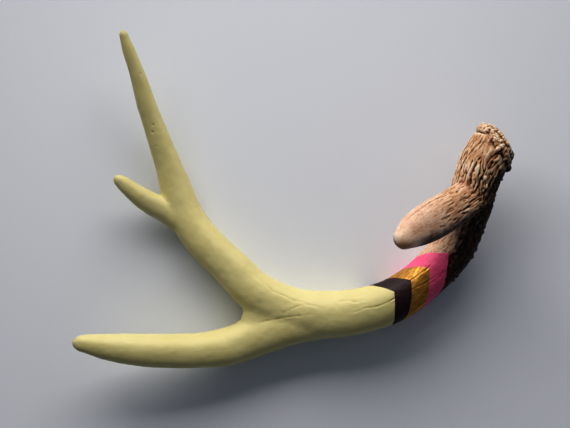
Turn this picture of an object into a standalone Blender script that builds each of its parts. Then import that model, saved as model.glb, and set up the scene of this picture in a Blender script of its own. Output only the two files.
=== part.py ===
"""A deer antler with a painted beam, lying flat as it rests on three low spots of its outer side.

It is one grown bone, built as the main beam with its burr, and three tines that meet it at the forks.
Metres, +Z up. The origin is under the middle of the antler's box, at the height it rests on.
"""

import math

import bmesh
import bpy
from mathutils import Matrix, Vector

# The middle of the bone and its half width there, from the burr to the beam's tip: x, y, z, half width.
BEAM = (
    (0.1359, 0.0383, 0.0370, 0.0140),
    (0.1327, 0.0323, 0.0370, 0.0146),
    (0.1280, 0.0238, 0.0358, 0.0147),
    (0.1247, 0.0133, 0.0335, 0.0143),
    (0.1223, 0.0003, 0.0300, 0.0140),
    (0.1186, -0.0152, 0.0250, 0.0140),
    (0.1121, -0.0328, 0.0180, 0.0146),
    (0.1013, -0.0461, 0.0143, 0.0148),
    (0.0894, -0.0572, 0.0142, 0.0148),
    (0.0766, -0.0662, 0.0156, 0.0152),
    (0.0609, -0.0728, 0.0166, 0.0155),
    (0.0411, -0.0773, 0.0168, 0.0160),
    (0.0199, -0.0789, 0.0164, 0.0165),
    (-0.0026, -0.0749, 0.0153, 0.0155),
    (-0.0260, -0.0629, 0.0148, 0.0145),
    (-0.0428, -0.0463, 0.0138, 0.0130),
    (-0.0628, -0.0269, 0.0128, 0.0125),
    (-0.0734, -0.0125, 0.0113, 0.0121),
    (-0.0825, 0.0095, 0.0117, 0.0110),
    (-0.0871, 0.0249, 0.0142, 0.0092),
    (-0.0945, 0.0476, 0.0200, 0.0076),
    (-0.1012, 0.0689, 0.0265, 0.0064),
    (-0.1058, 0.0877, 0.0330, 0.0050),
    (-0.1100, 0.1008, 0.0375, 0.0042),
    (-0.1128, 0.1103, 0.0410, 0.0030),
    (-0.1137, 0.1151, 0.0425, 0.0014),
)
BROW_TINE = (
    (0.1219, 0.0043, 0.0340, 0.0128),
    (0.1114, -0.0009, 0.0430, 0.0127),
    (0.1002, -0.0066, 0.0530, 0.0128),
    (0.0868, -0.0129, 0.0650, 0.0126),
    (0.0751, -0.0179, 0.0770, 0.0106),
    (0.0671, -0.0222, 0.0860, 0.0075),
    (0.0626, -0.0253, 0.0915, 0.0036),
)
SECOND_TINE = (
    (0.0339, -0.0797, 0.0164, 0.0135),
    (0.0139, -0.0829, 0.0160, 0.0142),
    (-0.0051, -0.0867, 0.0150, 0.0147),
    (-0.0223, -0.0927, 0.0143, 0.0147),
    (-0.0447, -0.1010, 0.0165, 0.0134),
    (-0.0654, -0.1033, 0.0205, 0.0120),
    (-0.0856, -0.1028, 0.0250, 0.0116),
    (-0.1056, -0.1012, 0.0295, 0.0109),
    (-0.1249, -0.0982, 0.0345, 0.0088),
    (-0.1408, -0.0951, 0.0385, 0.0058),
    (-0.1478, -0.0944, 0.0405, 0.0024),
)
THIRD_TINE = (
    (-0.0803, -0.0077, 0.0135, 0.0112),
    (-0.0906, -0.0044, 0.0160, 0.0092),
    (-0.0995, -0.0006, 0.0195, 0.0079),
    (-0.1082, 0.0057, 0.0235, 0.0066),
    (-0.1186, 0.0150, 0.0285, 0.0042),
    (-0.1226, 0.0173, 0.0300, 0.0020),
)
# The flat of bone that fills the first fork, between the beam and the second tine.
FORK_WEB = (
    (0.0159, -0.0797, 0.0160, 0.0130),
    (-0.0071, -0.0797, 0.0155, 0.0125),
    (-0.0241, -0.0802, 0.0150, 0.0113),
    (-0.0316, -0.0792, 0.0150, 0.0085),
    (-0.0353, -0.0784, 0.0150, 0.0040),
)

# How thick the bone is from bottom to top, as a share of its width in plan.
BEAM_FLATNESS = 0.94
BROW_FLATNESS = 0.78
TINE_FLATNESS = 0.96
SECTION_POINTS = 32
SECTION_LOBES = 5
SECTION_LOBE_SHARE = 0.018
SECTION_LOBE_TURN = 1.1

# The burr: rings of knobs round the cast face, whose plane leans away from the beam's own axis.
BURR_CENTRE = Vector((0.1361, 0.0380, 0.0370))
BURR_NORMAL = Vector((0.818, 0.576, 0.0)).normalized()
# Each ring: how far ahead of the centre, its radius, its tube's radius, its knobs and their radius.
BURR_RINGS = (
    (-0.0014, 0.0150, 0.0030, 25, 0.0023),
    (0.0026, 0.0114, 0.0026, 19, 0.0020),
)
# A knob is drawn out along the beam, sits this share of its radius deep, and wanders to and fro.
KNOB_STRETCH = 1.35
KNOB_SUNK_SHARE = 0.45
KNOB_WANDER = 0.0009
# The cast face is a low dome that fills the rings.
CAST_FACE_BEHIND = 0.0015
CAST_FACE_RADIUS = 0.0128
CAST_FACE_HEIGHT = 0.0066

# The bare bone by the burr has lengthwise ridges, and pearls on its outer side.
RIDGES = 13
RIDGE_RADIUS = 0.0017
RIDGE_SINK = 0.0016
RIDGE_TAPER = 0.4
RIDGE_START = 0.004
RIDGE_END = 0.100
RIDGE_WAVE = 0.15
RIDGE_WAVE_LENGTH = 0.034
RIDGE_STEP_SHARE = 0.14
PEARLS = 46
PEARL_RADIUS = 0.0019
PEARL_START = 0.030
PEARL_END = 0.106
PEARL_SIDE = math.radians(172)
PEARL_SPREAD = math.radians(72)
GOLDEN_ANGLE = math.radians(137.508)
# How much a knob or a pearl differs in size from the next, and the turn of that wave between them.
SIZE_CHANGE = 0.23
SIZE_TURN = 3.7

# Each tine is cut at its fork: a point on the cut, the way out along the tine, and a radius that clears it.
CUTS = {
    "brow_tine": ((0.1089, -0.0013, 0.0455), (-0.67, -0.35, 0.655), 0.0165),
    "second_tine": ((-0.0431, -0.0987, 0.0165), (-0.974, 0.02, 0.224), 0.0225),
    "third_tine": ((-0.0981, -0.0010, 0.0190), (-0.87, 0.42, 0.25), 0.0125),
}
CUT_LENGTH = 0.125
GAP = 0.0003

STEP = 0.004
VOXEL = 0.0009
SMOOTHING_ROUNDS = 4
TRIANGLES = 8700
# The bone past this x is rough. Its weight, a hair under one, leaves it most of the triangles.
ROUGH_FROM_X = 0.089
ROUGH_WEIGHT = 0.999
RESTING_CUTTER_SIZE = 0.5
CUTTER_SIDES = 48

# Colour (linear red, green, blue), roughness and metallic value of each finish.
FINISHES = {
    "yellow_paint": ((0.80, 0.73, 0.31), 0.55, 0.0),
    "bare_bone": ((0.55, 0.38, 0.24), 0.65, 0.0),
}
FINISH_OF = {
    "main_beam": "yellow_paint",
    "brow_tine": "bare_bone",
    "second_tine": "yellow_paint",
    "third_tine": "yellow_paint",
}


def smooth_route(stations, step=STEP):
    """Points with a half width, about a step apart, on a smooth curve through all the stations."""
    ends = [stations[0], *stations, stations[-1]]
    route = []
    for before, start, end, after in zip(ends, ends[1:], ends[2:], ends[3:]):
        length = (Vector(end[:3]) - Vector(start[:3])).length
        count = max(2, round(length / step))
        for i in range(count):
            t = i / count
            route.append(
                [
                    0.5
                    * (
                        2 * b
                        + (c - a) * t
                        + (2 * a - 5 * b + 4 * c - d) * t**2
                        + (3 * b - a - 3 * c + d) * t**3
                    )
                    for a, b, c, d in zip(before, start, end, after)
                ]
            )
    route.append(list(stations[-1]))
    return route


def frames_along(route):
    """(distance from the start, middle, sideways axis, upward axis, half width) at each point of a route."""
    frames = []
    distance = 0.0
    for i, point in enumerate(route):
        here = Vector(point[:3])
        before = Vector(route[max(i - 1, 0)][:3])
        after = Vector(route[min(i + 1, len(route) - 1)][:3])
        distance += (here - before).length
        sideways = (after - before).cross(Vector((0, 0, 1))).normalized()
        upward = sideways.cross(after - before).normalized()
        frames.append((distance, here, sideways, upward, point[3]))
    return frames


def on_surface(frames, distance, angle, flatness, depth=0.0):
    """The point a depth under the surface, at a distance along the bone and an angle from side to top."""
    _, middle, sideways, upward, radius = min(frames, key=lambda frame: abs(frame[0] - distance))
    reach = radius - depth
    return middle + reach * (math.cos(angle) * sideways + flatness * math.sin(angle) * upward)


def poly_curve(name, points, radii, closed=False, flat=False):
    """A straight-segment curve object through the points."""
    curve = bpy.data.curves.new(name, "CURVE")
    curve.dimensions = "2D" if flat else "3D"
    spline = curve.splines.new("POLY")
    spline.points.add(len(points) - 1)
    for slot, point, radius in zip(spline.points, points, radii):
        slot.co = (*point, 1.0)
        slot.radius = radius
    spline.use_cyclic_u = closed
    obj = bpy.data.objects.new(name, curve)
    bpy.context.scene.collection.objects.link(obj)
    return obj


def bone_section(name, flatness):
    """A bone's outline of unit half width: an oval with a few low lobes, as the flutes of a beam give it."""
    points = []
    for i in range(SECTION_POINTS):
        angle = 2 * math.pi * i / SECTION_POINTS
        reach = 1 + SECTION_LOBE_SHARE * math.cos(SECTION_LOBES * angle + SECTION_LOBE_TURN)
        points.append((reach * math.cos(angle), reach * flatness * math.sin(angle), 0.0))
    return poly_curve(name, points, [1.0] * SECTION_POINTS, closed=True, flat=True)


def add_to_bone(bone, obj):
    """Adds an object's evaluated shape to the bone's mesh, and removes the object."""
    bpy.context.view_layer.update()
    evaluated = obj.evaluated_get(bpy.context.evaluated_depsgraph_get())
    mesh = bpy.data.meshes.new_from_object(evaluated)
    mesh.transform(obj.matrix_world)
    bone.from_mesh(mesh)
    bpy.data.meshes.remove(mesh)
    bpy.data.objects.remove(obj)


def add_branch(bone, name, stations, flatness):
    """Adds a branch of bone: its section carried along its route, swelling and tapering with it."""
    section = bone_section(f"{name}_section", flatness)
    route = smooth_route(stations)
    branch = poly_curve(name, [point[:3] for point in route], [point[3] for point in route])
    branch.data.twist_mode = "Z_UP"
    branch.data.bevel_mode = "OBJECT"
    branch.data.bevel_object = section
    branch.data.use_fill_caps = True
    add_to_bone(bone, branch)
    bpy.data.objects.remove(section)


def add_ball(bone, centre, radius, stretch=1.0, along=None):
    """Adds a small knob, drawn out along a direction."""
    turn = Matrix.Identity(4)
    if along is not None:
        turn = along.to_track_quat("Z", "Y").to_matrix().to_4x4()
    size = Matrix.Diagonal((radius, radius, radius * stretch, 1.0))
    bmesh.ops.create_icosphere(
        bone, subdivisions=2, radius=1.0, matrix=Matrix.Translation(centre) @ turn @ size
    )


def varied(size, index):
    """A size for one of many knobs, a little larger or smaller than the next."""
    return size * (1 + SIZE_CHANGE * math.sin(SIZE_TURN * index))


def add_burr(bone):
    """Adds the knobbed rings at the cast end, and the cast face."""
    turn = BURR_NORMAL.to_track_quat("Z", "Y")
    for ahead, ring_radius, tube_radius, knobs, knob_radius in BURR_RINGS:
        centre = BURR_CENTRE + ahead * BURR_NORMAL
        bpy.ops.mesh.primitive_torus_add(
            location=centre,
            rotation=turn.to_euler(),
            major_radius=ring_radius,
            minor_radius=tube_radius,
            major_segments=48,
            minor_segments=12,
        )
        add_to_bone(bone, bpy.context.object)
        for i in range(knobs):
            angle = 2 * math.pi * i / knobs
            outward = turn @ Vector((math.cos(angle), math.sin(angle), 0.0))
            size = varied(knob_radius, i)
            reach = ring_radius + tube_radius - KNOB_SUNK_SHARE * size
            forward = KNOB_WANDER * math.cos(GOLDEN_ANGLE * i)
            knob = centre + reach * outward + forward * BURR_NORMAL
            add_ball(bone, knob, size, KNOB_STRETCH, BURR_NORMAL)
    middle = BURR_CENTRE - CAST_FACE_BEHIND * BURR_NORMAL
    add_ball(bone, middle, CAST_FACE_RADIUS, CAST_FACE_HEIGHT / CAST_FACE_RADIUS, BURR_NORMAL)


def add_ridges(bone, frames):
    """Adds the lengthwise ridges of the bare bone, which wander, and sink away under the paint."""
    for k in range(RIDGES):
        end = RIDGE_END * (1 - RIDGE_STEP_SHARE * (k % 3))
        count = round((end - RIDGE_START) / STEP)
        points, radii = [], []
        for i in range(count + 1):
            t = i / count
            distance = RIDGE_START + t * (end - RIDGE_START)
            wave = RIDGE_WAVE * math.sin(2 * math.pi * distance / RIDGE_WAVE_LENGTH + GOLDEN_ANGLE * k)
            angle = 2 * math.pi * k / RIDGES + wave
            points.append(on_surface(frames, distance, angle, BEAM_FLATNESS, RIDGE_SINK * t**2))
            radii.append(RIDGE_RADIUS * (1 - RIDGE_TAPER * t))
        ridge = poly_curve("ridge", points, radii)
        ridge.data.bevel_depth = 1.0
        ridge.data.bevel_resolution = 1
        ridge.data.use_fill_caps = True
        add_to_bone(bone, ridge)


def add_pearls(bone, frames):
    """Adds pearls over the outer side of the bare beam, spread by the golden angle."""
    for i in range(PEARLS):
        distance = PEARL_START + (PEARL_END - PEARL_START) * (i + 0.5) / PEARLS
        angle = PEARL_SIDE + PEARL_SPREAD * math.sin(GOLDEN_ANGLE * i)
        add_ball(bone, on_surface(frames, distance, angle, BEAM_FLATNESS), varied(PEARL_RADIUS, i))


def whole_bone():
    """The whole antler as one closed mesh object: its branches fused, smoothed and thinned."""
    bone = bmesh.new()
    add_branch(bone, "beam", BEAM, BEAM_FLATNESS)
    add_branch(bone, "brow", BROW_TINE, BROW_FLATNESS)
    add_branch(bone, "second", SECOND_TINE, TINE_FLATNESS)
    add_branch(bone, "third", THIRD_TINE, TINE_FLATNESS)
    add_branch(bone, "web", FORK_WEB, BEAM_FLATNESS)
    frames = frames_along(smooth_route(BEAM))
    add_ridges(bone, frames)
    add_pearls(bone, frames)
    add_burr(bone)
    bmesh.ops.remove_doubles(bone, verts=bone.verts, dist=1e-6)
    mesh = bpy.data.meshes.new("whole")
    bone.to_mesh(mesh)
    bone.free()
    whole = bpy.data.objects.new("whole", mesh)
    bpy.context.scene.collection.objects.link(whole)

    fuse = whole.modifiers.new("fuse", "REMESH")
    fuse.mode = "VOXEL"
    fuse.voxel_size = VOXEL
    smooth = whole.modifiers.new("smooth", "SMOOTH")
    smooth.iterations = SMOOTHING_ROUNDS
    applied(whole)
    rough = whole.vertex_groups.new(name="rough")
    for vertex in whole.data.vertices:
        rough.add([vertex.index], ROUGH_WEIGHT if vertex.co.x > ROUGH_FROM_X else 1.0, "REPLACE")
    thin = whole.modifiers.new("thin", "DECIMATE")
    thin.vertex_group = rough.name
    thin.vertex_group_factor = 1.0
    thin.ratio = TRIANGLES / triangle_count(whole.data)
    applied(whole)
    cut(whole, resting_cutter(), "DIFFERENCE")
    applied(whole)
    return whole


def triangle_count(mesh):
    """How many triangles a mesh's faces make."""
    mesh.calc_loop_triangles()
    return len(mesh.loop_triangles)


def applied(obj):
    """Makes an object's evaluated mesh its own, and clears its modifiers."""
    bpy.context.view_layer.update()
    evaluated = obj.evaluated_get(bpy.context.evaluated_depsgraph_get())
    mesh = bpy.data.meshes.new_from_object(evaluated)
    obj.modifiers.clear()
    obj.data = mesh


def cut(obj, cutter, operation):
    """Gives an object a Boolean with a cutter."""
    boolean = obj.modifiers.new(f"{operation.lower()}_{cutter.name}", "BOOLEAN")
    boolean.object = cutter
    boolean.operation = operation


def as_cutter(obj, name):
    """Names a helper and keeps it out of the render, in the cutters' collection."""
    obj.name = name
    obj.hide_render = True
    obj.display_type = "WIRE"
    for collection in list(obj.users_collection):
        collection.objects.unlink(obj)
    collection_named("cutters").objects.link(obj)
    return obj


def resting_cutter():
    """A block whose top is at the resting height: it flattens the three low spots that the bone lies on."""
    bpy.ops.mesh.primitive_cube_add(size=RESTING_CUTTER_SIZE, location=(0, 0, -RESTING_CUTTER_SIZE / 2))
    return as_cutter(bpy.context.object, "resting_block")


def tine_cutter(name, start, direction, radius, grown):
    """A cylinder round a tine, from its fork out past its tip, and grown back into the beam by a gap."""
    way = Vector(direction).normalized()
    length = CUT_LENGTH + grown
    bpy.ops.mesh.primitive_cylinder_add(
        vertices=CUTTER_SIDES,
        radius=radius + grown,
        depth=length,
        location=Vector(start) + way * (length / 2 - grown),
        rotation=way.to_track_quat("Z", "Y").to_euler(),
    )
    return as_cutter(bpy.context.object, name)


def collection_named(name):
    """The scene's collection of that name, made if it isn't there."""
    found = bpy.data.collections.get(name)
    if found is None:
        found = bpy.data.collections.new(name)
        bpy.context.scene.collection.children.link(found)
    return found


def finish_material(name):
    """The Principled material of a named finish."""
    found = bpy.data.materials.get(name)
    if found is not None:
        return found
    colour, roughness, metallic = FINISHES[name]
    material = bpy.data.materials.new(name)
    material.use_nodes = True
    shader = material.node_tree.nodes["Principled BSDF"]
    shader.inputs["Base Color"].default_value = (*colour, 1.0)
    shader.inputs["Roughness"].default_value = roughness
    shader.inputs["Metallic"].default_value = metallic
    return material


def branch_of(whole, name):
    """One branch's object, with a copy of the whole bone's mesh, its own finish and smooth faces."""
    branch = bpy.data.objects.new(name, whole.data.copy())
    collection_named("painted_antler").objects.link(branch)
    branch.data.materials.clear()
    branch.data.materials.append(finish_material(FINISH_OF[name]))
    branch.data.shade_smooth()
    return branch


def main():
    """Builds the antler."""
    for obj in list(bpy.data.objects):
        bpy.data.objects.remove(obj)
    whole = whole_bone()
    beam = branch_of(whole, "main_beam")
    for name, (start, direction, radius) in CUTS.items():
        keep = tine_cutter(f"{name}_keep", start, direction, radius, 0.0)
        cut(branch_of(whole, name), keep, "INTERSECT")
        clear = tine_cutter(f"{name}_clear", start, direction, radius, GAP)
        cut(beam, clear, "DIFFERENCE")
    bpy.data.objects.remove(whole)


main()
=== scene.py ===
"""The looks of the painted antler: one grown bone, bare by the burr, painted from mid beam to its tips.

Metres, +Z up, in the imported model's own frame. The bone is built once at fine size, dressed with its
ridges, pearls and grooves, and then parted at the first paint edge into its bare and its painted piece.
"""

import itertools
import logging
import math
from dataclasses import dataclass, field
from enum import Enum
from functools import partial
from typing import Any, Sequence

import bpy
import numpy as np
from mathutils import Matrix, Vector


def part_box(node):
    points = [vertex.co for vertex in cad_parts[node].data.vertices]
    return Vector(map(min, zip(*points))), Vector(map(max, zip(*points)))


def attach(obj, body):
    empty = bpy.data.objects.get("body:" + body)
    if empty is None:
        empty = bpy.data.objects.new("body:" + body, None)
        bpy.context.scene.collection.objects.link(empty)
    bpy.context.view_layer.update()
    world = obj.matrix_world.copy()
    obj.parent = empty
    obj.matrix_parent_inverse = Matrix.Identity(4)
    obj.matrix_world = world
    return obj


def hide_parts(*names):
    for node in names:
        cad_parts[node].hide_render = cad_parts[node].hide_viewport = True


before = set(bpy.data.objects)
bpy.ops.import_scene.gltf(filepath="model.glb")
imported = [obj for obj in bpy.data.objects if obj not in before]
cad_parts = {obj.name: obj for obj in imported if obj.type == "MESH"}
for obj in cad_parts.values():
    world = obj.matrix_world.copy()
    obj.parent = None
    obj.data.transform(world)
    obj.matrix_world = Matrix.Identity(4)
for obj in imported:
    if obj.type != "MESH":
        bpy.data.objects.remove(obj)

logging.basicConfig(level=logging.INFO, format="%(message)s")
LOG = logging.getLogger("painted_antler")

MILLIMETRE = 0.001
GOLDEN_ANGLE = math.radians(137.508)
# A branch is searched for this many points at a time, to save memory.
SEARCH_BLOCK = 20000

Station = tuple[float, float, float, float]
Size = tuple[float, float, float]
Stops = tuple[tuple[float, str], ...]


class Limb(Enum):
    """The branches of the antler."""

    BEAM = 0
    BROW_TINE = 1
    SECOND_TINE = 2
    THIRD_TINE = 3
    FORK_WEB = 4


class Coat(Enum):
    """What covers the bone, in order from the burr. The value is the material's place on the mesh."""

    BARE = 0
    PINK = 1
    GOLD = 2
    PLUM = 3
    YELLOW = 4


# Small tools.


def hex_colour(code: str) -> tuple[float, float, float, float]:
    """Turns an sRGB hex colour into the linear one that shaders read.

    Args:
        code: the colour, such as "#EBDD8C".

    Returns:
        Linear red, green, blue and alpha.
    """
    parts = [int(code[i : i + 2], 16) / 255 for i in (1, 3, 5)]
    red, green, blue = (c / 12.92 if c <= 0.04045 else ((c + 0.055) / 1.055) ** 2.4 for c in parts)
    return red, green, blue, 1.0


def set_inputs(tree: bpy.types.NodeTree, node: bpy.types.Node, inputs: dict[str | int, Any]) -> None:
    """Sets a node's inputs.

    Args:
        tree: the node's tree.
        node: the node.
        inputs: an output to link, a hex colour or a plain value, for each input by name or number.
    """
    for key, value in inputs.items():
        if isinstance(value, bpy.types.NodeSocket):
            tree.links.new(value, node.inputs[key])
        else:
            node.inputs[key].default_value = hex_colour(value) if isinstance(value, str) else value


def add_node(
    tree: bpy.types.NodeTree,
    kind: str,
    output: str | int,
    inputs: dict[str | int, Any] | None = None,
    stops: Stops = (),
    **settings: Any,
) -> bpy.types.NodeSocket:
    """Adds a node with its settings, its input values and its links.

    Args:
        tree: the material's node tree.
        kind: the node's Blender type name, without the ShaderNode that each begins with.
        output: the output that is wanted, by name or number.
        inputs: its inputs, as set_inputs takes them.
        stops: a colour ramp's places and hex colours, in order.
        settings: the node's own properties.

    Returns:
        The wanted output.
    """
    node = tree.nodes.new("ShaderNode" + kind)
    for name, value in settings.items():
        setattr(node, name, value)
    set_inputs(tree, node, inputs or {})
    if stops:
        elements = node.color_ramp.elements
        while len(elements) < len(stops):
            elements.new(1.0)
        for element, (place, code) in zip(elements, stops):
            element.position = place
            element.color = hex_colour(code)
    return node.outputs[output]


def select_only(*objects: bpy.types.Object) -> None:
    """Deselects everything, then selects the objects and makes the first one active."""
    bpy.ops.object.select_all(action="DESELECT")
    for obj in objects:
        obj.select_set(True)
    bpy.context.view_layer.objects.active = objects[0]


def apply_modifier(obj: bpy.types.Object, kind: str, **settings: Any) -> None:
    """Gives an object a modifier and applies it.

    Args:
        obj: the object.
        kind: the modifier's Blender type name.
        settings: the modifier's properties.
    """
    select_only(obj)
    modifier = obj.modifiers.new(kind.lower(), kind)
    for name, value in settings.items():
        setattr(modifier, name, value)
    bpy.ops.object.modifier_apply(modifier=modifier.name)


def ease(value: np.ndarray, start: float, end: float) -> np.ndarray:
    """A soft step from 0 at the start to 1 at the end."""
    share = np.clip((value - start) / (end - start), 0.0, 1.0)
    return share * share * (3 - 2 * share)


def bell(value: np.ndarray, width: float) -> np.ndarray:
    """A soft bump: 1 where the value is 0, and almost 0 where it is twice the width."""
    return np.exp(-((value / width) ** 2))


def wrapped(angle: np.ndarray) -> np.ndarray:
    """The same angles, from half a turn below 0 to half a turn above."""
    return np.mod(angle + math.pi, 2 * math.pi) - math.pi


def scrambled(cell: np.ndarray, seed: int) -> np.ndarray:
    """A whole number of 30 well mixed bits for each cell of a grid.

    Args:
        cell: whole coordinates, n by 3.
        seed: chooses the pattern.

    Returns:
        n whole numbers.
    """
    mixed = (cell[:, 0] * 73856093) ^ (cell[:, 1] * 19349663) ^ (cell[:, 2] * 83492791) ^ (seed * 40503)
    mixed = ((mixed ^ (mixed >> 13)) * 1274126177) & 0x3FFFFFFF
    mixed = ((mixed ^ (mixed >> 15)) * 668265263) & 0x3FFFFFFF
    return mixed ^ (mixed >> 12)


def thirds(number: np.ndarray) -> np.ndarray:
    """Splits 30 mixed bits into three values from 0 to 1."""
    return np.stack([number & 1023, (number >> 10) & 1023, (number >> 20) & 1023], axis=1) / 1023.0


def noise(points: np.ndarray, seed: int) -> np.ndarray:
    """Smooth noise that changes over a distance of about one.

    Args:
        points: n by 3.
        seed: chooses the pattern.

    Returns:
        n values, mostly from -0.6 to 0.6.
    """
    cell = np.floor(points).astype(np.int64)
    part = points - cell
    fade = part**3 * (part * (part * 6 - 15) + 10)
    total = np.zeros(len(points))
    for corner in itertools.product((0, 1), repeat=3):
        at = np.array(corner)
        slope = 2 * thirds(scrambled(cell + at, seed)) - 1
        weight = np.prod(np.where(at == 1, fade, 1 - fade), axis=1)
        total += weight * np.sum(slope * (part - at), axis=1)
    return total


def cell_distance(points: np.ndarray, seed: int) -> np.ndarray:
    """The distance to the nearest of points strewn one to each unit cell.

    Args:
        points: n by 3.
        seed: chooses the pattern.

    Returns:
        n distances.
    """
    cell = np.floor(points).astype(np.int64)
    nearest = np.full(len(points), np.inf)
    for offset in itertools.product((-1, 0, 1), repeat=3):
        at = cell + np.array(offset)
        nearest = np.minimum(nearest, np.linalg.norm(at + thirds(scrambled(at, seed)) - points, axis=1))
    return nearest


# The bone's form.


@dataclass(frozen=True)
class Place:
    """Where points lie on a branch.

    Attributes:
        along: distance from the branch's start, in millimetres.
        angle: turn round the branch, from 0 on its inner side through a right angle on top.
        gap: distance out from the branch's own surface, in millimetres.
        grain: the point on an unrolled branch of even thickness, in millimetres, n by 3.
    """

    along: np.ndarray
    angle: np.ndarray
    gap: np.ndarray
    grain: np.ndarray

    @property
    def outer(self) -> np.ndarray:
        """How far round on the branch's outer side the points are, from 0 to 1."""
        return 0.5 - 0.5 * np.cos(self.angle)


@dataclass(frozen=True)
class Branch:
    """One branch of bone.

    Attributes:
        limb: which branch it is.
        stations: x, y, z of its middle and its half width there, from its root to its tip.
        flatness: how thick it is from bottom to top, as a share of its width.
        tip_length: the length over which its tip rounds off; 0 leaves it inside another branch.
        grain_radius: the even half width its grain is drawn on, in millimetres.
    """

    limb: Limb
    stations: tuple[Station, ...]
    flatness: float
    tip_length: float
    grain_radius: float

    def route(self, step: float) -> np.ndarray:
        """Points with a half width on a smooth curve through the stations.

        Args:
            step: about how far apart the points are.

        Returns:
            x, y, z and half width, n by 4.
        """
        ends = np.array([self.stations[0], *self.stations, self.stations[-1]])
        pieces = []
        for a, b, c, d in zip(ends, ends[1:], ends[2:], ends[3:]):
            count = max(2, round(float(np.linalg.norm(c[:3] - b[:3])) / step))
            t = (np.arange(count) / count)[:, None]
            bend = (2 * a - 5 * b + 4 * c - d) * t**2 + (3 * b - a - 3 * c + d) * t**3
            pieces.append(0.5 * (2 * b + (c - a) * t + bend))
        points = np.concatenate([*pieces, ends[-1:]])
        if self.tip_length > 0:
            steps = np.linalg.norm(np.diff(points[:, :3], axis=0), axis=1)
            left = np.concatenate([np.cumsum(steps[::-1])[::-1], [0.0]])
            # The last ring keeps a little width.
            share = np.clip(1 - left / self.tip_length, 0.0, 0.999)
            points[:, 3] *= np.sqrt(1 - share**2)
        return points

    def tube(self, step: float, section: bpy.types.Object) -> bpy.types.Object:
        """The branch as a mesh: its section carried along its route.

        A bone that bends and swells has no primitive, so it starts as a curve with a bevel object.

        Args:
            step: the distance between rings.
            section: the curve of its outline at unit half width.

        Returns:
            The closed mesh object.
        """
        curve = bpy.data.curves.new(self.limb.name.lower(), "CURVE")
        curve.dimensions = "3D"
        curve.twist_mode = "Z_UP"
        curve.bevel_mode = "OBJECT"
        curve.bevel_object = section
        curve.use_fill_caps = True
        route = self.route(step)
        spline = curve.splines.new("POLY")
        spline.points.add(len(route) - 1)
        for point, (x, y, z, radius) in zip(spline.points, route):
            point.co = (x, y, z, 1.0)
            point.radius = radius
        tube = bpy.data.objects.new(curve.name, curve)
        bpy.context.scene.collection.objects.link(tube)
        select_only(tube)
        bpy.ops.object.convert(target="MESH")
        return tube

    def locate(self, points: np.ndarray) -> Place:
        """Finds where points lie on the branch.

        Args:
            points: n by 3, in metres.

        Returns:
            Their places.
        """
        route = self.route(MILLIMETRE)
        middle = route[:, :3]
        tangent = np.gradient(middle, axis=0)
        tangent /= np.linalg.norm(tangent, axis=1, keepdims=True)
        sideways = np.cross(tangent, (0.0, 0.0, 1.0))
        sideways /= np.linalg.norm(sideways, axis=1, keepdims=True)
        upward = np.cross(sideways, tangent)
        travelled = np.concatenate([[0.0], np.cumsum(np.linalg.norm(np.diff(middle, axis=0), axis=1))])
        nearest = np.concatenate(
            [
                np.argmin(np.sum(middle**2, axis=1) - 2 * block @ middle.T, axis=1)
                for block in np.array_split(points, 1 + len(points) // SEARCH_BLOCK)
            ]
        )
        out = points - middle[nearest]
        reach = np.sum(out * tangent[nearest], axis=1)
        ahead = np.clip(reach, -MILLIMETRE, MILLIMETRE)
        out -= reach[:, None] * tangent[nearest]
        side = np.sum(out * sideways[nearest], axis=1)
        up = np.sum(out * upward[nearest], axis=1) / self.flatness
        angle = np.arctan2(up, side)
        along = (travelled[nearest] + ahead) / MILLIMETRE
        radius = self.grain_radius
        grain = np.stack([radius * np.cos(angle), radius * np.sin(angle), along], axis=1)
        gap = (np.sqrt(side**2 + up**2 + (reach - ahead) ** 2) - route[nearest, 3]) / MILLIMETRE
        return Place(along, angle, gap, grain)


@dataclass(frozen=True)
class KnobRing:
    """One ring of the burr.

    Attributes:
        ahead: how far it lies ahead of the burr's centre.
        radius: the ring's own radius.
        thickness: the radius of its tube.
        knobs: how many knobs stand on it.
        knob_radius: their mean radius.
    """

    ahead: float
    radius: float
    thickness: float
    knobs: int
    knob_radius: float


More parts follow.
